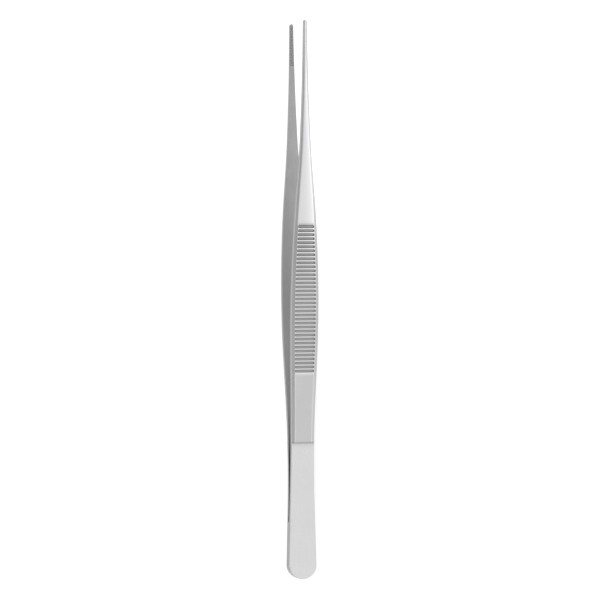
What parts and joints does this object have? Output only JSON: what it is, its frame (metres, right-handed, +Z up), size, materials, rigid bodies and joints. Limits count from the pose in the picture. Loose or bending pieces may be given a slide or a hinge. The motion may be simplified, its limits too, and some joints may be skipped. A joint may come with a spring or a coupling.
{
  "type": "thumb forceps",
  "caption": "Slender two-arm thumb forceps with a bowed, cross-grooved grip and narrow toothed jaws, joined flat at a round butt.",
  "frame": {"origin": "middle of the pair's footprint on the surface it lies on", "axes": "+Z up out of that surface and across the width of the arms, +X from the butt to the tips, -Y out of the front arm"},
  "size_m": [0.18, 0.0176, 0.0091],
  "materials": {
    "satin_steel": "satin-ground stainless steel, a little brighter on the ground butt face"
  },
  "bodies": {
    "root": {"front_arm": "satin_steel", "rear_arm": "satin_steel"}
  },
  "joints": []
}
